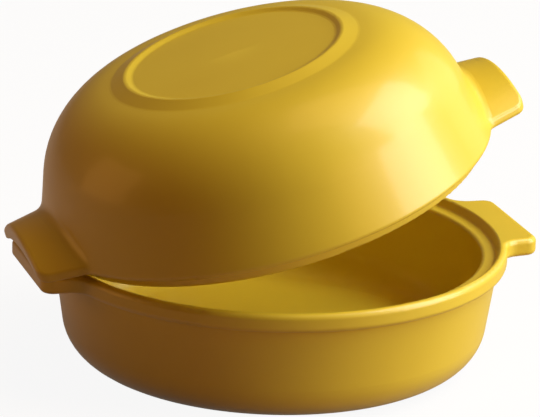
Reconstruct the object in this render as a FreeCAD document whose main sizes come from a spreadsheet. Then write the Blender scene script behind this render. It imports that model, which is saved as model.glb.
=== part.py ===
import FreeCAD, Part
import math
import os

import Sketcher

# A round glazed stoneware casserole dish with its domed lid. Millimetres and degrees, +Z up.
# The origin is the centre of the foot, on the surface that the dish stands on. The two lugs
# of each piece lie along X. The lid is tipped open: its rim rests in the dish at -X.

# Driving sizes: name, value and what it measures
SIZES = [
    ("rim_radius", 87.5, "outer radius of the dish's rim band"),
    ("dish_height", 45.8, "foot to the crest of the rim"),
    ("rim_thickness", 3.1, "raised rim that keeps the lid in place"),
    ("step_depth", 3.4, "crest down to the ledge"),
    ("step_run", 1.5, "how far the step's wall leans in"),
    ("step_blend", 0.9, "radius between the step and the ledge"),
    ("ledge_width", 5.1, "ledge that the closed lid sits on"),
    ("ledge_round", 1.6, "edge radius between the ledge and the inside wall"),
    ("band_height", 7.0, "height of the rim band, and thickness of the dish's lugs"),
    ("band_overhang", 3.4, "rim band proud of the wall"),
    ("wall_taper", 5.6, "how much narrower the wall is at the foot"),
    ("foot_corner", 16.5, "radius from the wall to the foot"),
    ("wall_foot", 5.6, "wall thickness low down"),
    ("floor_thickness", 6.0, "floor of the dish"),
    ("floor_corner", 12.0, "radius inside, from wall to floor"),
    ("foot_ring", 6.0, "width of the ring that the dish stands on"),
    ("foot_recess", 1.2, "depth of the hollow inside the foot ring"),
    ("lug_length", 9.9, "rim band to the outer edge of a dish lug"),
    ("lug_half_width", 24.9, "half the width of a dish lug at its outer edge"),
    ("lug_flare", 1.5, "how much wider each side is at the rim"),
    ("rim_play", 0.6, "room between the lid's rim and the step"),
    ("lid_lift", 0.9, "room between the closed lid's brim and the crest"),
    ("rim_draft", 1.0, "how much narrower the lid's rim is at its edge than under the brim"),
    ("lid_wall", 5.5, "wall of the lid"),
    ("lid_edge_round", 1.4, "edge radius of the lid's rim"),
    ("brim_round", 1.6, "edge radius of the brim, and round the foot of the lid's lugs"),
    ("side_rise", 23.1, "straight flank of the lid, from the brim up"),
    ("side_lean", 7.5, "how far the flank leans in"),
    ("lid_height", 53.4, "lid's rim to the hollow round the medallion"),
    ("medallion_radius", 47.5, "hollow round the medallion"),
    ("bead_width", 6.1, "hollow to the crest of the ring bead"),
    ("bead_height", 1.633, "ring bead above the line of the lid's shoulder, carried on"),
    ("bead_slope", 2.6, "inner slope of the ring bead"),
    ("field_depth", 1.2, "field below the crest of the ring bead"),
    ("field_crown", 0.6, "rise of the field at its centre"),
    ("medallion_round", 4.0, "hollow round the medallion, as a radius"),
    ("bead_round", 1.8, "radius over the ring bead"),
    ("field_round", 2.0, "radius from the bead to the field"),
    ("ceiling_round", 8.0, "radius inside the lid, under the medallion's edge"),
    ("hood_length", 9.9, "brim to the outer edge of a lid lug"),
    ("hood_half_width", 27.0, "half the width of a lid lug at its outer edge"),
    ("hood_flare", 8.5, "how much wider each side is inside the flank"),
    ("hood_arch_rise", 5.9, "rise of the arch under a lid lug"),
    ("hood_land", 0.8, "flat foot left on each side of the arch"),
    ("hood_thickness", 7.0, "thickness of a lid lug in the middle"),
    ("hood_edge", 3.6, "thickness of a lid lug at its sides"),
    ("hood_slope", 1.2, "how much higher a lid lug's back is inside the flank"),
    ("lid_tilt", 16.0, "how far the lid is tipped open, in degrees"),
    ("lid_shift", 0.4, "play left beside the tipped rim"),
    ("rest_gap", 0.3, "gap where the lid leans on the lug"),
]

# Worked out from the driving sizes
WORKED_OUT = [
    ("step_radius", "rim_radius - rim_thickness"),
    ("step_foot_radius", "step_radius - step_run"),
    ("ledge_height", "dish_height - step_depth"),
    ("well_radius", "step_foot_radius - ledge_width"),
    ("band_foot", "dish_height - band_height"),
    ("wall_radius", "rim_radius - band_overhang"),
    ("foot_radius", "wall_radius - wall_taper"),
    ("floor_radius", "foot_radius - wall_foot + wall_taper * floor_thickness / band_foot"),
    ("recess_radius", "foot_radius - foot_corner - foot_ring"),
    ("lug_reach", "rim_radius + lug_length"),
    ("lug_root_half_width", "lug_half_width + lug_flare"),
    ("lug_blend", "lug_length * 0.7"),
    ("lug_corner", "lug_length * 0.5"),
    ("crest_round", "rim_thickness * 0.68"),
    ("step_round", "rim_thickness * 0.3"),
    ("band_round", "band_overhang * 0.56"),
    ("band_hollow", "band_overhang * 0.42"),
    ("lid_rim_radius", "step_foot_radius - rim_play"),
    ("lid_bore_radius", "lid_rim_radius - lid_wall"),
    ("lid_rim_root", "lid_rim_radius + rim_draft"),
    ("brim_height", "step_depth + lid_lift"),
    ("side_height", "brim_height + side_rise"),
    ("side_radius", "rim_radius - side_lean"),
    ("bead_radius", "medallion_radius - bead_width"),
    ("shoulder_run", "side_radius - medallion_radius"),
    ("shoulder_climb", "lid_height - side_height"),
    (
        "shoulder_share",
        "2 * (shoulder_run * side_lean + shoulder_climb * side_rise)"
        " / (shoulder_run^2 + shoulder_climb^2)",
    ),
    (
        "shoulder_slope",
        "(shoulder_share * shoulder_climb - side_rise)"
        " / (shoulder_share * shoulder_run - side_lean)",
    ),
    ("bead_top", "lid_height + shoulder_slope * bead_width + bead_height"),
    ("field_radius", "bead_radius - bead_slope"),
    ("field_height", "bead_top - field_depth"),
    ("field_top", "field_height + field_crown"),
    ("side_length", "sqrt(side_rise^2 + side_lean^2)"),
    ("inner_side_radius", "side_radius - lid_wall * side_rise / side_length"),
    ("inner_side_height", "side_height - lid_wall * side_lean / side_length"),
    ("bore_height", "inner_side_height - (lid_bore_radius - inner_side_radius) * side_rise / side_lean"),
    ("ceiling_height", "lid_height - lid_wall"),
    ("field_arch", "(field_radius^2 + field_crown^2) / (2 * field_crown)"),
    ("tilt_sine", "sin(lid_tilt)"),
    ("tilt_cosine", "cos(lid_tilt)"),
    ("rim_rest_radius", "step_foot_radius + step_blend * step_run / step_depth"),
    ("lid_x", "lid_rim_radius * tilt_cosine + lid_shift - rim_rest_radius"),
    ("hood_reach", "rim_radius + hood_length"),
    ("hood_corner", "hood_length * 0.6"),
    ("hood_valley", "hood_length * 0.45"),
    ("hood_round", "(hood_edge - brim_round) * 0.9"),
    ("hood_mouth_round", "brim_round * 0.75"),
    ("hood_root", "lid_bore_radius - hood_thickness / 2"),
    ("hood_root_half_width", "hood_half_width + hood_flare"),
    ("hood_rise", "brim_height + hood_arch_rise"),
    ("hood_side_top", "brim_height + hood_edge"),
    ("hood_back", "hood_rise + hood_thickness"),
    ("hood_root_back", "hood_back + hood_slope"),
    ("hood_swell", "hood_back - hood_side_top"),
    ("hood_back_arch", "(hood_half_width^2 + hood_swell^2) / (2 * hood_swell)"),
    ("hood_root_swell", "hood_root_back - hood_side_top"),
    (
        "hood_root_back_arch",
        "(hood_root_half_width^2 + hood_root_swell^2) / (2 * hood_root_swell)",
    ),
    ("hood_arch_half_width", "hood_half_width - hood_land"),
    ("hood_arch", "(hood_arch_half_width^2 + hood_arch_rise^2) / (2 * hood_arch_rise)"),
    ("hood_arch_depth", "hood_length + hood_land"),
    ("hood_drop", "hood_valley"),
    ("skirt_drop", "3 * hood_valley"),
    ("skirt_radius", "rim_radius + (brim_height + skirt_drop) * side_lean / side_rise"),
    ("skirt_reach", "hood_reach + hood_half_width"),
    ("dish_lug_shoulder", "lug_half_width - crest_round"),
    ("hood_over_shoulder", "hood_rise - hood_arch + sqrt(hood_arch^2 - dish_lug_shoulder^2)"),
    (
        "hood_contact",
        "(lug_reach - crest_round + lid_x - hood_over_shoulder * tilt_sine) / tilt_cosine",
    ),
    (
        "lid_z",
        "dish_height + rest_gap + hood_contact * tilt_sine - hood_over_shoulder * tilt_cosine",
    ),
]

doc = FreeCAD.newDocument("casserole_dish")
sheet = doc.addObject("Spreadsheet::Sheet", "Sizes")
row = 1
for alias, value, meaning in SIZES:
    sheet.set(f"A{row}", alias)
    sheet.set(f"B{row}", str(value))
    sheet.set(f"C{row}", meaning)
    sheet.setAlias(f"B{row}", alias)
    row += 1
for alias, formula in WORKED_OUT:
    sheet.set(f"A{row}", alias)
    sheet.set(f"B{row}", "=" + formula)
    sheet.setAlias(f"B{row}", alias)
    row += 1
doc.recompute()


def size(alias):
    """Value of a size; a leading minus gives its negative."""
    sign = -1.0 if alias.startswith("-") else 1.0
    return sign * float(sheet.get(alias.lstrip("-")))


def bound(alias):
    """The expression that ties a dimension to a size."""
    return "-Sizes." + alias[1:] if alias.startswith("-") else "Sizes." + alias


def new_sketch(body, name, role, offset=None):
    """A sketch on one of the body's origin planes, moved off it by a size if one is given."""
    sketch = body.newObject("Sketcher::SketchObject", name)
    plane = next(f for f in body.Origin.OriginFeatures if f.Role == role)
    sketch.AttachmentSupport = [(plane, "")]
    sketch.MapMode = "FlatFace"
    if offset:
        sketch.setExpression("AttachmentOffset.Base.z", bound(offset))
    doc.recompute()
    return sketch


def tangent_arc(start, heading, end):
    """Centre of the arc that leaves start along heading and ends at end."""
    across = FreeCAD.Vector(-heading.y, heading.x, 0)
    chord = end - start
    radius = chord.dot(chord) / (2 * chord.dot(across))
    return start + across * radius


def add_arc(sketch, centre, start, end, clockwise):
    """An arc from start to end; returns its index and which of its ends is the start."""
    first, last = (end, start) if clockwise else (start, end)
    radius = (start - centre).Length
    circle = Part.Circle(centre, FreeCAD.Vector(0, 0, 1), radius)
    arc = Part.ArcOfCircle(
        circle,
        math.atan2(first.y - centre.y, first.x - centre.x),
        math.atan2(last.y - centre.y, last.x - centre.x),
    )
    return sketch.addGeometry(arc), (2 if clockwise else 1)


def closed_profile(sketch, corners, smooth_sides=(), arched_sides=None):
    """A closed outline through the corners, each a pair of sizes. A smooth side is an arc that
    carries on from the side before it. An arched side is an arc with a size as its radius; it
    swells out of an outline listed counter-clockwise, or into it with a minus."""
    arched_sides = arched_sides or {}
    points = [FreeCAD.Vector(size(x) if x else 0, size(y) if y else 0, 0) for x, y in corners]
    count = len(points)
    heading = None
    sides = []
    for i in range(count):
        start, end = points[i], points[(i + 1) % count]
        if i in smooth_sides:
            centre = tangent_arc(start, heading, end)
            turn = (start - centre).cross(heading).z
            index, first = add_arc(sketch, centre, start, end, clockwise=turn < 0)
            out = (end - centre).normalize()
            heading = FreeCAD.Vector(-out.y, out.x, 0) * (1 if turn > 0 else -1)
        elif i in arched_sides:
            radius = size(arched_sides[i])
            side = -1 if radius < 0 else 1
            along = end - start
            inward = FreeCAD.Vector(-along.y, along.x, 0).normalize() * side
            centre = (start + end) * 0.5 + inward * math.sqrt(radius**2 - (along.Length / 2) ** 2)
            index, first = add_arc(sketch, centre, start, end, clockwise=side < 0)
        else:
            index, first = sketch.addGeometry(Part.LineSegment(start, end)), 1
            heading = (end - start).normalize()
        sides.append((index, first, 3 - first))
    for i in range(count):
        index, first, _ = sides[i]
        before, _, last = sides[i - 1]
        meeting = "Tangent" if i in smooth_sides else "Coincident"
        sketch.addConstraint(Sketcher.Constraint(meeting, before, last, index, first))
        for axis, alias, kind in ((-2, corners[i][0], "DistanceX"), (-1, corners[i][1], "DistanceY")):
            if alias:
                made = sketch.addConstraint(
                    Sketcher.Constraint(kind, -1, 1, index, first, size(alias))
                )
                sketch.setExpression(f"Constraints[{made}]", bound(alias))
            else:
                sketch.addConstraint(Sketcher.Constraint("PointOnObject", index, first, axis))
        if i in arched_sides:
            alias = arched_sides[i].lstrip("-")
            made = sketch.addConstraint(Sketcher.Constraint("Radius", index, size(alias)))
            sketch.setExpression(f"Constraints[{made}]", bound(alias))
    doc.recompute()


def solid_volume(body):
    """Volume of the body as it stands, or nothing before its first feature."""
    tip = body.Tip
    if tip is None or not hasattr(tip, "Shape") or tip.Shape.isNull():
        return 0.0
    return tip.Shape.Volume


def worked(feature, before):
    """Returns a feature that changed its body, and stops the build at one that did not."""
    doc.recompute()
    shape = feature.Shape
    if shape.isNull() or not shape.isValid() or abs(shape.Volume - before) < 0.01:
        raise RuntimeError(f"{feature.Name} changed nothing or made no sound solid")
    return feature


def revolve(body, sketch, kind, name):
    """A full turn of a sketch about its own upright axis, added or cut."""
    before = solid_volume(body)
    feature = body.newObject(kind, name)
    feature.Profile = sketch
    feature.ReferenceAxis = (sketch, ["V_Axis"])
    feature.Angle = 360.0
    return worked(feature, before)


def edges_where(feature, test):
    """Names of the feature's edges whose middle point and edge pass the test."""
    names = []
    for number, edge in enumerate(feature.Shape.Edges, 1):
        middle = edge.valueAt((edge.FirstParameter + edge.LastParameter) / 2)
        if test(edge, middle):
            names.append(f"Edge{number}")
    return names


def ring(radius, height):
    """Test for an edge that lies on a level circle about the upright axis."""
    wanted_radius, wanted_height = size(radius), size(height) if height else 0.0

    def test(edge, middle):
        return (
            abs(math.hypot(middle.x, middle.y) - wanted_radius) < 0.01
            and abs(middle.z - wanted_height) < 0.01
            and isinstance(edge.Curve, Part.Circle)
            and abs(edge.Curve.Radius - wanted_radius) < 0.01
        )

    return test


def round_edges(body, base, name, radius, *tests):
    """Rounds or hollows the edges of base that pass one of the tests."""
    found = edges_where(base, lambda edge, middle: any(t(edge, middle) for t in tests))
    if not found:
        raise RuntimeError(f"{name}: no edge found")
    fillet = body.newObject("PartDesign::Fillet", name)
    fillet.Base = (base, found)
    fillet.setExpression("Radius", bound(radius))
    return worked(fillet, base.Shape.Volume)


def mirror(body, features, name):
    """Copies features across the body's upright plane between the two lugs."""
    before = solid_volume(body)
    mirrored = body.newObject("PartDesign::Mirrored", name)
    if len(features) == 1 and features[0].isDerivedFrom("PartDesign::Fillet"):
        mirrored.TransformMode = "Whole shape"
    else:
        mirrored.Originals = features
    plane = next(f for f in body.Origin.OriginFeatures if f.Role == "YZ_Plane")
    mirrored.MirrorPlane = (plane, [""])
    body.Tip = mirrored
    return worked(mirrored, before)


# Tests that pick edges by where they lie
def upright_at(reach, foot, top):
    """Test for an upright edge between two heights, at or beyond a given distance from the axis."""
    wanted = size(reach)

    def test(edge, middle):
        first, last = edge.Vertexes[0].Point, edge.Vertexes[-1].Point
        heights = sorted([first.z, last.z])
        return (
            math.hypot(first.x - last.x, first.y - last.y) < 0.01
            and abs(heights[0] - size(foot)) < 0.01
            and abs(heights[1] - size(top)) < 0.01
            and abs(middle.y) > 1.0
            and min(abs(math.hypot(middle.x, middle.y) - wanted), abs(abs(middle.x) - wanted)) < 0.01
        )

    return test


def level_edge(height, radius):
    """Test for an edge at one height that lies further out than a given radius."""
    wanted_height, wanted_radius = size(height), size(radius)

    def test(edge, middle):
        return (
            all(abs(vertex.Point.z - wanted_height) < 0.01 for vertex in edge.Vertexes)
            and abs(middle.z - wanted_height) < 0.01
            and math.hypot(middle.x, middle.y) > wanted_radius + 0.05
        )

    return test


def lug_back_edge(edge, middle):
    """Tells an edge round the back of a lid lug, apart from the one inside the flank."""
    first, last = edge.Vertexes[0].Point, edge.Vertexes[-1].Point
    return (
        middle.x > size("hood_root") + 0.5
        and middle.z > size("brim_height") + 1.0
        and math.hypot(first.x - last.x, first.y - last.y) > 0.3
    )


def on_flank(point):
    """Whether a point lies on the lid's flank, or on its line carried on below the brim."""
    lean = size("side_lean") / size("side_rise")
    radius = size("rim_radius") - lean * (point.z - size("brim_height"))
    return abs(math.hypot(point.x, point.y) - radius) < 0.02


def flank_crease(edge, middle):
    """Tells an edge where a lug's blank stands out of the flank."""
    span = edge.LastParameter - edge.FirstParameter
    along = [edge.valueAt(edge.FirstParameter + part * span) for part in (0, 0.25, 0.5, 0.75, 1)]
    level_ends = (-size("skirt_drop"), size("side_height"))
    return (
        all(on_flank(point) for point in along)
        and not isinstance(edge.Curve, Part.Line)
        and all(abs(middle.z - level) > 0.01 for level in level_ends)
    )


def arch_mouth(edge, middle):
    """Tells an edge of a lid lug's arch on the outer side of the lug."""
    axis_height = size("hood_rise") - size("hood_arch")
    return (
        abs(math.hypot(middle.y, middle.z - axis_height) - size("hood_arch")) < 0.01
        and abs(middle.x) > size("rim_radius")
        and middle.z > size("brim_height")
        and abs(edge.Vertexes[0].Point.y - edge.Vertexes[-1].Point.y) > 0.01
    )


# Dish: turned body with a banded rim, and two flat lugs as thick as the band
dish = doc.addObject("PartDesign::Body", "casserole_dish")
dish.Label = "casserole_dish"

outline = new_sketch(dish, "dish_outline", "XZ_Plane")
closed_profile(
    outline,
    [
        (None, None),
        ("foot_radius", None),
        ("wall_radius", "band_foot"),
        ("rim_radius", "band_foot"),
        ("rim_radius", "dish_height"),
        (None, "dish_height"),
    ],
)
revolve(dish, outline, "PartDesign::Revolution", "dish_turned")

lug_plan = new_sketch(dish, "dish_lug_plan", "XY_Plane", "band_foot")
closed_profile(
    lug_plan,
    [
        ("well_radius", "-lug_root_half_width"),
        ("lug_reach", "-lug_half_width"),
        ("lug_reach", "lug_half_width"),
        ("well_radius", "lug_root_half_width"),
    ],
)
lug = dish.newObject("PartDesign::Pad", "dish_lug")
lug.Profile = lug_plan
lug.setExpression("Length", bound("band_height"))
doc.recompute()
mirror(dish, [lug], "dish_lugs")

outline = new_sketch(dish, "dish_well", "XZ_Plane")
closed_profile(
    outline,
    [
        (None, "floor_thickness"),
        ("floor_radius", "floor_thickness"),
        ("well_radius", "ledge_height"),
        ("step_foot_radius", "ledge_height"),
        ("step_radius", "dish_height"),
        (None, "dish_height"),
    ],
)
revolve(dish, outline, "PartDesign::Groove", "dish_hollowed")

outline = new_sketch(dish, "dish_foot_recess", "XZ_Plane")
closed_profile(
    outline,
    [(None, None), ("recess_radius", None), ("recess_radius", "foot_recess"), (None, "foot_recess")],
)
standing = revolve(dish, outline, "PartDesign::Groove", "dish_foot_ring")

for name, radius, tests in (
    ("lug_blends", "lug_blend", [upright_at("rim_radius", "band_foot", "dish_height")]),
    ("lug_corners", "lug_corner", [upright_at("lug_reach", "band_foot", "dish_height")]),
    ("crest_outside", "crest_round", [level_edge("dish_height", "step_radius")]),
    ("band_underside", "band_round", [level_edge("band_foot", "wall_radius")]),
    ("band_hollowed", "band_hollow", [ring("wall_radius", "band_foot")]),
    ("crest_inside", "step_round", [ring("step_radius", "dish_height")]),
    ("step_foot", "step_blend", [ring("step_foot_radius", "ledge_height")]),
    ("ledge_edge", "ledge_round", [ring("well_radius", "ledge_height")]),
    ("floor_blend", "floor_corner", [ring("floor_radius", "floor_thickness")]),
    ("foot_blend", "foot_corner", [ring("foot_radius", None)]),
):
    standing = round_edges(dish, standing, name, radius, *tests)

# Blanks of the lid's two lugs: arched backs that widen towards the lid, and deep straight sides
hoods = doc.addObject("PartDesign::Body", "lid_lugs")
hoods.Label = "lid_lugs"
sections = []
for name, place, half_width, arch in (
    ("tip", "hood_reach", "hood_half_width", "hood_back_arch"),
    ("root", "hood_root", "hood_root_half_width", "hood_root_back_arch"),
):
    section = new_sketch(hoods, "lid_lug_" + name, "YZ_Plane", place)
    corners = [("-" + half_width, "-hood_drop"), (half_width, "-hood_drop")]
    corners += [(half_width, "hood_side_top"), ("-" + half_width, "hood_side_top")]
    closed_profile(section, corners, arched_sides={2: arch})
    sections.append(section)
hood = hoods.newObject("PartDesign::AdditiveLoft", "lid_lug")
hood.Profile = sections[0]
hood.Sections = [sections[1]]
hood.Ruled = True
doc.recompute()
hood_corner = upright_at("hood_reach", "-hood_drop", "hood_side_top")
hood = round_edges(hoods, hood, "hood_corners", "hood_corner", hood_corner)
hood = round_edges(hoods, hood, "hood_backs", "hood_round", lug_back_edge)
mirror(hoods, [hood], "lid_lug_pair")

# Lid: domed body with its flank carried on below the brim, blended round the lugs' blanks. Then
# all that is below the brim is turned away, down to the rim, and the lugs are arched underneath
lid = doc.addObject("PartDesign::Body", "domed_lid")
lid.Label = "domed_lid"

outline = new_sketch(lid, "lid_outline", "XZ_Plane")
closed_profile(
    outline,
    [
        (None, "-skirt_drop"),
        ("skirt_radius", "-skirt_drop"),
        ("side_radius", "side_height"),
        ("medallion_radius", "lid_height"),
        ("bead_radius", "bead_top"),
        ("field_radius", "field_height"),
        (None, "field_top"),
    ],
    smooth_sides=(2,),
    arched_sides={5: "field_arch"},
)
revolve(lid, outline, "PartDesign::Revolution", "lid_turned")
joined = lid.newObject("PartDesign::Boolean", "lid_with_lugs")
joined.Type = "Fuse"
joined.setObjects([hoods])
doc.recompute()
round_edges(lid, joined, "lug_valleys", "hood_valley", flank_crease)

outline = new_sketch(lid, "lid_underside", "XZ_Plane")
closed_profile(
    outline,
    [
        (None, "-skirt_drop"),
        ("skirt_reach", "-skirt_drop"),
        ("skirt_reach", "brim_height"),
        ("lid_rim_root", "brim_height"),
        ("lid_rim_radius", None),
        (None, None),
    ],
)
brim = revolve(lid, outline, "PartDesign::Groove", "lid_rim_turned")
round_edges(lid, brim, "brim_rounded", "brim_round", level_edge("brim_height", "lid_rim_root"))

arch = new_sketch(lid, "lid_lug_arch", "YZ_Plane", "hood_reach")
closed_profile(
    arch,
    [
        ("-hood_arch_half_width", None),
        ("hood_arch_half_width", None),
        ("hood_arch_half_width", "brim_height"),
        ("-hood_arch_half_width", "brim_height"),
    ],
    arched_sides={2: "hood_arch"},
)
before = solid_volume(lid)
scoop = lid.newObject("PartDesign::Pocket", "lid_lug_scoop")
scoop.Profile = arch
scoop.setExpression("Length", bound("hood_arch_depth"))
worked(scoop, before)
mirror(lid, [scoop], "lid_lug_scoops")

outline = new_sketch(lid, "lid_inside", "XZ_Plane")
closed_profile(
    outline,
    [
        (None, None),
        ("lid_bore_radius", None),
        ("lid_bore_radius", "bore_height"),
        ("inner_side_radius", "inner_side_height"),
        ("medallion_radius", "ceiling_height"),
        (None, "ceiling_height"),
    ],
    smooth_sides=(3,),
)
covering = revolve(lid, outline, "PartDesign::Groove", "lid_hollowed")
for name, radius, tests in (
    ("arch_mouths", "hood_mouth_round", [arch_mouth]),
    ("lid_rim_edges", "lid_edge_round", [ring("lid_rim_radius", None), ring("lid_bore_radius", None)]),
    ("medallion_hollow", "medallion_round", [ring("medallion_radius", "lid_height")]),
    ("bead_crest", "bead_round", [ring("bead_radius", "bead_top")]),
    ("field_hollow", "field_round", [ring("field_radius", "field_height")]),
    ("ceiling_edge", "ceiling_round", [ring("medallion_radius", "ceiling_height")]),
):
    covering = round_edges(lid, covering, name, radius, *tests)

# The lid lies tipped in the dish: its rim in the corner of the step at -X, its lug on the dish's
lid.setExpression("Placement.Base.x", "Sizes.lid_x")
lid.setExpression("Placement.Base.z", "Sizes.lid_z")
lid.setExpression("Placement.Rotation.Pitch", "-Sizes.lid_tilt")
doc.recompute()

for made in doc.Objects:
    if "Invalid" in made.State or "Error" in made.State:
        raise RuntimeError(f"{made.Name} failed: {made.State}")
os.makedirs("parts", exist_ok=True)
for body in (dish, lid):
    if body.Shape.isNull() or not body.Shape.isValid() or len(body.Shape.Solids) != 1:
        raise RuntimeError(f"{body.Label} is not one sound solid")
    body.Shape.exportStep(f"parts/{body.Label}.step")
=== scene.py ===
import math

import bpy
from mathutils import Matrix, Vector

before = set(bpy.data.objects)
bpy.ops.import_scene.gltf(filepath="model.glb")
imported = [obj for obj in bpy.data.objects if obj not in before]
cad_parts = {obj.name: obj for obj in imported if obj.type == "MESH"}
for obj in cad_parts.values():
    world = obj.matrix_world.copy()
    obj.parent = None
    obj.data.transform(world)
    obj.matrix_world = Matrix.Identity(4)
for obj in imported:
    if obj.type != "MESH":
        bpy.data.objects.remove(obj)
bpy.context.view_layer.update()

# A round casserole dish with a domed lid, in honey-yellow glazed stoneware, on a pale floor.
# Metres, +Z up. The lugs lie along X; the photograph looks from -Y at the dish's front.

bl_info = {
    "name": "Round casserole dish",
    "version": (1, 0, 0),
    "blender": (4, 5, 0),
    "location": "3D View > Sidebar > Casserole",
    "description": "Glazes a round casserole dish with its lid, and sets its floor and lights",
    "category": "Object",
}

MILLIMETRE = 0.001
WHITE = (1.0, 1.0, 1.0, 1.0)

# The kiln ring: glaze ends this high above the floor, and thins out over the next distance
BARE_BELOW = 0.15 * MILLIMETRE
GLAZE_EDGE = 0.2 * MILLIMETRE
CLAY_GRAIN = 0.8 * MILLIMETRE

# How much of the white ground shows: to the eye, in the glaze from the floor, and from the walls
FLOOR_GLOW = 0.92
MIRRORED_FLOOR = 0.2
MIRRORED_WALLS = 0.1

FLOOR_HALF = 4.0
LAMP_DISTANCE = 1.5
LAMPS_LOOK_AT = (0.0, 0.0, 0.06)


def linear(code):
    """An sRGB hex colour as linear red, green and blue."""
    channels = [int(code[i : i + 2], 16) / 255 for i in (1, 3, 5)]
    return [c / 12.92 if c <= 0.04045 else ((c + 0.055) / 1.055) ** 2.4 for c in channels]


def add_node(tree, kind, links=None, **settings):
    """A node with its settings, and values or links for its inputs."""
    node = tree.nodes.new(kind)
    for name, value in settings.items():
        setattr(node, name, value)
    for name, value in (links or {}).items():
        if isinstance(value, bpy.types.NodeSocket):
            tree.links.new(value, node.inputs[name])
        else:
            node.inputs[name].default_value = value
    return node


def mixed_colour(tree, share, first, second):
    """The colour between two others; a mix node's colour sockets are its inputs 6 and 7."""
    mix = add_node(tree, "ShaderNodeMix", {0: share}, data_type="RGBA")
    mix.inputs[6].default_value = (*first, 1.0)
    mix.inputs[7].default_value = (*second, 1.0)
    return mix.outputs[2]


def new_material(name):
    """An empty node material and its output node."""
    material = bpy.data.materials.new(name)
    material.use_nodes = True
    material.node_tree.nodes.clear()
    return material, material.node_tree.nodes.new("ShaderNodeOutputMaterial")


class CasseroleGlaze(bpy.types.PropertyGroup):
    """Colours and finish of the glazed stoneware."""

    body_colour: bpy.props.FloatVectorProperty(
        name="Glaze",
        description="Colour of the glaze where it lies at its usual thickness",
        subtype="COLOR",
        min=0.0,
        max=1.0,
        default=linear("#E8CF38"),
    )
    pooled_colour: bpy.props.FloatVectorProperty(
        name="Pooled glaze",
        description="Colour where the glaze lies a little thicker",
        subtype="COLOR",
        min=0.0,
        max=1.0,
        default=linear("#E0C430"),
    )
    bare_colour: bpy.props.FloatVectorProperty(
        name="Bare clay",
        description="Colour of the unglazed foot ring",
        subtype="COLOR",
        min=0.0,
        max=1.0,
        default=linear("#D8C3A0"),
    )
    drift_size: bpy.props.FloatProperty(
        name="Glaze drift",
        description="Distance over which the glaze's thickness drifts",
        subtype="DISTANCE",
        unit="LENGTH",
        min=0.005,
        default=40 * MILLIMETRE,
    )
    ripple_size: bpy.props.FloatProperty(
        name="Ripple",
        description="Distance between the soft ripples that a fired glaze keeps",
        subtype="DISTANCE",
        unit="LENGTH",
        min=0.0005,
        default=5 * MILLIMETRE,
    )


class CasseroleStage(bpy.types.PropertyGroup):
    """Floor, lights and camera."""

    floor_colour: bpy.props.FloatVectorProperty(
        name="Floor",
        description="Colour of the plain floor",
        subtype="COLOR",
        min=0.0,
        max=1.0,
        default=linear("#F2EDE4"),
    )
    bounce_colour: bpy.props.FloatVectorProperty(
        name="Floor's bounce",
        description="Colour of the light that the floor throws back onto the dish",
        subtype="COLOR",
        min=0.0,
        max=1.0,
        default=linear("#8A6844"),
    )
    key_power: bpy.props.FloatProperty(
        name="Key light",
        description="Power of the low soft light on the right",
        subtype="POWER",
        unit="POWER",
        min=0.0,
        default=16.0,
    )
    high_power: bpy.props.FloatProperty(
        name="High light",
        description="Power of the high soft light on the right",
        subtype="POWER",
        unit="POWER",
        min=0.0,
        default=18.0,
    )
    rim_power: bpy.props.FloatProperty(
        name="Rim light",
        description="Power of the low light behind the right side",
        subtype="POWER",
        unit="POWER",
        min=0.0,
        default=2.0,
    )
    top_power: bpy.props.FloatProperty(
        name="Top light",
        description="Power of the warm light overhead",
        subtype="POWER",
        unit="POWER",
        min=0.0,
        default=6.0,
    )
    wrap_power: bpy.props.FloatProperty(
        name="Wrap light",
        description="Power of the amber light that carries the key round to the front",
        subtype="POWER",
        unit="POWER",
        min=0.0,
        default=2.6,
    )
    fill_power: bpy.props.FloatProperty(
        name="Fill light",
        description="Power of the weak amber light on the left",
        subtype="POWER",
        unit="POWER",
        min=0.0,
        default=3.2,
    )
    camera_from: bpy.props.FloatVectorProperty(
        name="Camera",
        description="Where the camera stands",
        subtype="XYZ",
        unit="LENGTH",
        default=(-0.3974, -1.1669, 0.4604),
    )
    camera_to: bpy.props.FloatVectorProperty(
        name="Looks at",
        description="The point in the middle of the picture",
        subtype="XYZ",
        unit="LENGTH",
        default=(-0.00251, 0.00085, 0.05693),
    )
    camera_roll: bpy.props.FloatProperty(
        name="Roll",
        description="How far the camera is turned about its line of sight",
        subtype="ANGLE",
        unit="ROTATION",
        default=math.radians(1.645),
    )
    camera_lens: bpy.props.FloatProperty(
        name="Lens",
        description="Focal length on a 36 mm wide picture",
        subtype="DISTANCE_CAMERA",
        unit="CAMERA",
        default=229.27,
    )


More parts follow.
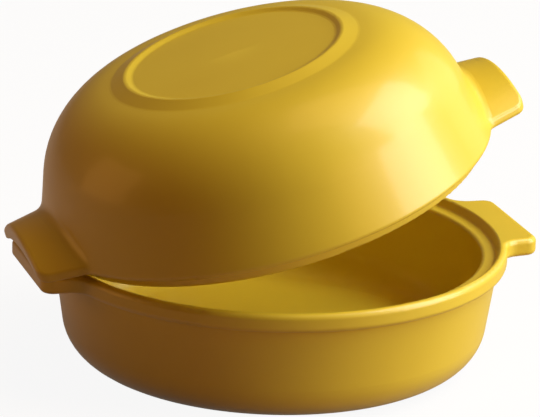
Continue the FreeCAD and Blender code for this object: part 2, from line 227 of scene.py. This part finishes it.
def glazed_stoneware(name, glaze, bare_ring=False):
    """Stoneware, moulded, dipped in an opaque yellow glaze and fired: a smooth colour that drifts
    a little where the glaze ran thicker, a satin gloss, and a skin with hardly visible ripples.
    The ring that stood in the kiln is wiped bare, and shows pale, grainy clay."""
    material, output = new_material(name)
    tree = material.node_tree
    place = add_node(tree, "ShaderNodeTexCoord").outputs["Object"]
    drift = add_node(
        tree,
        "ShaderNodeTexNoise",
        {"Vector": place, "Scale": 1 / glaze.drift_size, "Detail": 2.0, "Roughness": 0.45},
    ).outputs["Fac"]
    colour = mixed_colour(tree, drift, glaze.body_colour, glaze.pooled_colour)
    ripple = add_node(
        tree,
        "ShaderNodeTexNoise",
        {"Vector": place, "Scale": 1 / glaze.ripple_size, "Detail": 1.0, "Roughness": 0.4},
    ).outputs["Fac"]
    skin = add_node(
        tree,
        "ShaderNodeBump",
        {"Height": ripple, "Strength": 0.06, "Distance": 0.4 * MILLIMETRE},
    ).outputs["Normal"]
    shader = add_node(
        tree,
        "ShaderNodeBsdfPrincipled",
        {
            "Base Color": colour,
            # A satin gloss, under a thin clearer skin that puts small highlights on the edges
            "Roughness": 0.4,
            "IOR": 1.5,
            "Coat Weight": 0.25,
            "Coat Roughness": 0.13,
            "Normal": skin,
        },
    ).outputs["BSDF"]
    if bare_ring:
        height = add_node(tree, "ShaderNodeSeparateXYZ", {"Vector": place}).outputs["Z"]
        bare = add_node(
            tree,
            "ShaderNodeMapRange",
            {"Value": height, "From Min": BARE_BELOW, "From Max": BARE_BELOW + GLAZE_EDGE},
        ).outputs["Result"]
        grain = add_node(
            tree,
            "ShaderNodeTexNoise",
            {"Vector": place, "Scale": 1 / CLAY_GRAIN, "Detail": 3.0},
        ).outputs["Fac"]
        rough_skin = add_node(
            tree,
            "ShaderNodeBump",
            {"Height": grain, "Strength": 0.4, "Distance": 0.1 * MILLIMETRE},
        ).outputs["Normal"]
        clay = add_node(
            tree,
            "ShaderNodeBsdfPrincipled",
            {"Base Color": (*glaze.bare_colour, 1.0), "Roughness": 0.85, "Normal": rough_skin},
        ).outputs["BSDF"]
        shader = add_node(
            tree, "ShaderNodeMixShader", {0: bare, 1: clay, 2: shader}
        ).outputs["Shader"]
    tree.links.new(shader, output.inputs["Surface"])
    return material


def dress(node, material):
    """Gives a whole piece its one material."""
    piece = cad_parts[node]
    piece.data.materials.clear()
    piece.data.materials.append(material)
    for polygon in piece.data.polygons:
        polygon.material_index = 0


class OBJECT_OT_glaze_casserole_dish(bpy.types.Operator):
    """Glazes the dish, with its foot ring left bare"""

    bl_idname = "object.glaze_casserole_dish"
    bl_label = "Glaze the dish"

    def execute(self, context):
        glaze = context.scene.casserole_glaze
        material = glazed_stoneware("yellow_glazed_stoneware_dish", glaze, bare_ring=True)
        dress("casserole_dish", material)
        return {"FINISHED"}


class OBJECT_OT_glaze_domed_lid(bpy.types.Operator):
    """Glazes the lid"""

    bl_idname = "object.glaze_domed_lid"
    bl_label = "Glaze the lid"

    def execute(self, context):
        glaze = context.scene.casserole_glaze
        material = glazed_stoneware("yellow_glazed_stoneware_lid", glaze)
        dress("domed_lid", material)
        return {"FINISHED"}


def facing(place, target, roll=0.0):
    """The pose of a lamp or camera that stands at place and looks at target."""
    place, target = Vector(place), Vector(target)
    turn = (target - place).to_track_quat("-Z", "Y").to_matrix().to_4x4()
    return Matrix.Translation(place) @ turn @ Matrix.Rotation(roll, 4, "Z")


def add_soft_light(name, azimuth, elevation, size, power, colour="#FFFFFF"):
    """A rectangular soft light round the dish; azimuths are counted from +X, in degrees."""
    lamp = bpy.data.lights.new(name, "AREA")
    lamp.shape = "RECTANGLE"
    lamp.size, lamp.size_y = size
    lamp.energy = power
    lamp.color = linear(colour)
    light = bpy.data.objects.new(name, lamp)
    around, up = math.radians(azimuth), math.radians(elevation)
    ray = Vector(
        (math.cos(around) * math.cos(up), math.sin(around) * math.cos(up), math.sin(up))
    )
    middle = Vector(LAMPS_LOOK_AT)
    light.matrix_world = facing(middle + LAMP_DISTANCE * ray, middle)
    bpy.context.scene.collection.objects.link(light)


def add_seen_share(tree, gloss):
    """1 for what the eye sees straight or through glass, and a smaller share for reflections."""
    rays = add_node(tree, "ShaderNodeLightPath").outputs
    mirrored = add_node(
        tree, "ShaderNodeMath", {0: rays["Is Glossy Ray"], 1: gloss}, operation="MULTIPLY"
    ).outputs[0]
    seen = add_node(
        tree, "ShaderNodeMath", {0: rays["Is Camera Ray"], 1: mirrored}, operation="MAXIMUM"
    ).outputs[0]
    return add_node(
        tree, "ShaderNodeMath", {0: seen, 1: rays["Is Transmission Ray"]}, operation="MAXIMUM"
    ).outputs[0]


def plain_floor(stage):
    """Wood painted matt white: to the eye it is an even white that keeps a soft shadow, and the
    dish gets the weaker, warmer light of a studio floor from it."""
    material, output = new_material("matt_white_painted_floor")
    tree = material.node_tree
    seen = add_seen_share(tree, MIRRORED_FLOOR)
    paint_colour = mixed_colour(tree, seen, stage.bounce_colour, stage.floor_colour)
    paint = add_node(tree, "ShaderNodeBsdfDiffuse", {"Color": paint_colour}).outputs["BSDF"]
    glow = add_node(tree, "ShaderNodeEmission", {"Color": WHITE}).outputs["Emission"]
    share = add_node(
        tree, "ShaderNodeMath", {0: seen, 1: FLOOR_GLOW}, operation="MULTIPLY"
    ).outputs[0]
    shader = add_node(
        tree, "ShaderNodeMixShader", {0: share, 1: paint, 2: glow}
    ).outputs["Shader"]
    tree.links.new(shader, output.inputs["Surface"])
    return material


def add_floor(stage):
    """The ground under the dish, a hair below its foot."""
    half = FLOOR_HALF
    mesh = bpy.data.meshes.new("floor")
    corners = [(-half, -half, 0), (half, -half, 0), (half, half, 0), (-half, half, 0)]
    mesh.from_pydata(corners, [], [(0, 1, 2, 3)])
    mesh.materials.append(plain_floor(stage))
    floor = bpy.data.objects.new("floor", mesh)
    floor.location.z = -0.1 * MILLIMETRE
    bpy.context.scene.collection.objects.link(floor)


def studio_world():
    """Dim brown walls that light the dish, seen as plain white."""
    world = bpy.data.worlds.new("studio")
    world.use_nodes = True
    tree = world.node_tree
    tree.nodes.clear()
    output = tree.nodes.new("ShaderNodeOutputWorld")
    brown = (*linear("#8A5A30"), 1.0)
    dim = add_node(tree, "ShaderNodeBackground", {"Color": brown, "Strength": 0.05})
    white = add_node(tree, "ShaderNodeBackground", {"Color": WHITE})
    seen = add_seen_share(tree, MIRRORED_WALLS)
    walls = add_node(
        tree,
        "ShaderNodeMixShader",
        {0: seen, 1: dim.outputs["Background"], 2: white.outputs["Background"]},
    )
    tree.links.new(walls.outputs["Shader"], output.inputs["Surface"])
    return world


def add_camera(stage):
    """The camera at the photograph's viewing angle."""
    camera_data = bpy.data.cameras.new("camera")
    camera_data.lens = stage.camera_lens
    camera_data.sensor_width = 36.0
    camera_data.sensor_fit = "HORIZONTAL"
    camera_data.clip_end = 20.0
    camera = bpy.data.objects.new("camera", camera_data)
    camera.matrix_world = facing(stage.camera_from, stage.camera_to, stage.camera_roll)
    bpy.context.scene.collection.objects.link(camera)
    return camera


class SCENE_OT_casserole_stage(bpy.types.Operator):
    """Sets the floor, the world, the lights and the camera"""

    bl_idname = "scene.casserole_stage"
    bl_label = "Set the stage"

    def execute(self, context):
        scene = context.scene
        stage = scene.casserole_stage
        add_floor(stage)
        scene.world = studio_world()
        # The two large lights stand on the right. The amber ones carry the shade round to the
        # left, where the glaze looks brown.
        add_soft_light("key", -27, 15, (1.0, 0.8), stage.key_power)
        add_soft_light("high", -12, 46, (1.0, 0.9), stage.high_power)
        add_soft_light("rim", 26, 20, (0.8, 0.8), stage.rim_power)
        add_soft_light("top", -10, 78, (0.9, 0.9), stage.top_power, "#FFC888")
        add_soft_light("wrap", -59, 15, (0.8, 0.8), stage.wrap_power, "#FFAE66")
        add_soft_light("fill", 161, 12, (0.8, 0.8), stage.fill_power, "#FFB660")
        scene.camera = add_camera(stage)
        scene.view_settings.view_transform = "Standard"
        return {"FINISHED"}


class VIEW3D_PT_casserole(bpy.types.Panel):
    """Lists the casserole's settings and the steps that make it"""

    bl_idname = "VIEW3D_PT_casserole"
    bl_label = "Round casserole dish"
    bl_space_type = "VIEW_3D"
    bl_region_type = "UI"
    bl_category = "Casserole"

    def draw(self, context):
        for group in (context.scene.casserole_glaze, context.scene.casserole_stage):
            column = self.layout.column()
            for name in group.__annotations__:
                column.prop(group, name)
        for operator in (
            OBJECT_OT_glaze_casserole_dish,
            OBJECT_OT_glaze_domed_lid,
            SCENE_OT_casserole_stage,
        ):
            self.layout.operator(operator.bl_idname)


CLASSES = (
    CasseroleGlaze,
    CasseroleStage,
    OBJECT_OT_glaze_casserole_dish,
    OBJECT_OT_glaze_domed_lid,
    SCENE_OT_casserole_stage,
    VIEW3D_PT_casserole,
)


def register():
    for cls in CLASSES:
        bpy.utils.register_class(cls)
    bpy.types.Scene.casserole_glaze = bpy.props.PointerProperty(type=CasseroleGlaze)
    bpy.types.Scene.casserole_stage = bpy.props.PointerProperty(type=CasseroleStage)


def unregister():
    del bpy.types.Scene.casserole_stage
    del bpy.types.Scene.casserole_glaze
    for cls in reversed(CLASSES):
        bpy.utils.unregister_class(cls)


def main():
    register()
    bpy.ops.object.glaze_casserole_dish()
    bpy.ops.object.glaze_domed_lid()
    bpy.ops.scene.casserole_stage()


if __name__ == "__main__":
    main()
